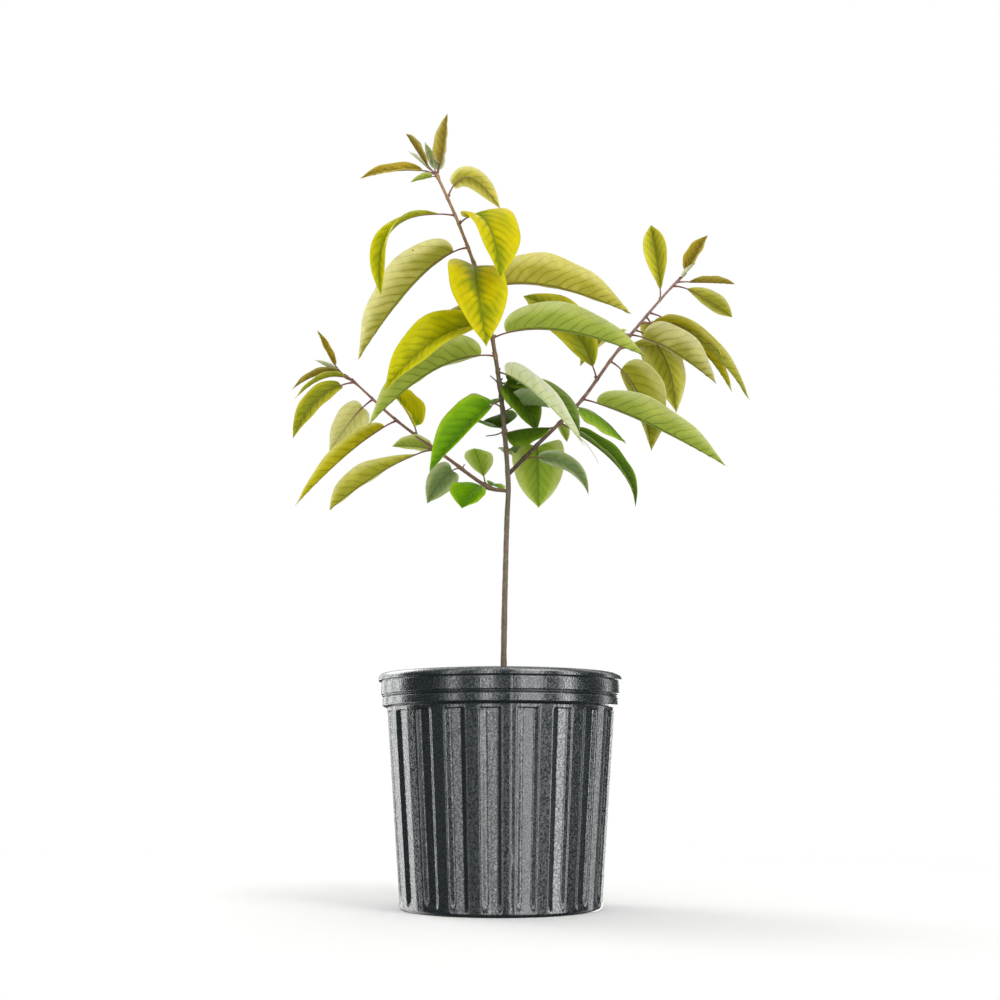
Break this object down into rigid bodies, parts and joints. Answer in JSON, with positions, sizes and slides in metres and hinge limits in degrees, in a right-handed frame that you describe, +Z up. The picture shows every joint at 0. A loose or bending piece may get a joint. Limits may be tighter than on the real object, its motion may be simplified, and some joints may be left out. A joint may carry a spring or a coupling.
{
  "type": "potted american persimmon tree",
  "caption": "Young persimmon tree with a slim leaning trunk, side boughs and drooping yellow-green leaves, in a round fluted nursery pot of potting mix.",
  "frame": {"origin": "centre of the pot's flat foot, on the surface it stands on", "axes": "+Z up along the pot's axis, -Y towards the viewer of the picture, +X to the viewer's right"},
  "size_m": [0.5242, 0.26, 0.8641],
  "materials": {
    "black_plastic": "moulded recycled plastic, dark charcoal, fine upright drag lines, soft gloss",
    "potting_mix": "moist peat and bark mix with white perlite",
    "bark": "young grey-brown bark, dull, with small nodes",
    "leaf": "waxy leaf turning from green to yellow, paler below"
  },
  "bodies": {
    "root": {"pot": "black_plastic", "potting_mix": "potting_mix", "trunk": "bark", "bough_right": "bark", "bough_left": "bark", "foliage_leader": "leaf", "foliage_right": "leaf", "foliage_left": "leaf", "trunk_leaf_1": "leaf", "trunk_leaf_2": "leaf", "trunk_leaf_3": "leaf", "trunk_leaf_4": "leaf", "trunk_leaf_5": "leaf", "trunk_leaf_6": "leaf", "trunk_leaf_7": "leaf", "trunk_leaf_8": "leaf", "trunk_leaf_9": "leaf", "trunk_leaf_10": "leaf", "right_bough_leaf_1": "leaf", "right_bough_leaf_2": "leaf", "left_bough_leaf_1": "leaf", "left_bough_leaf_2": "leaf", "left_bough_leaf_3": "leaf", "left_bough_leaf_4": "leaf"}
  },
  "joints": []
}
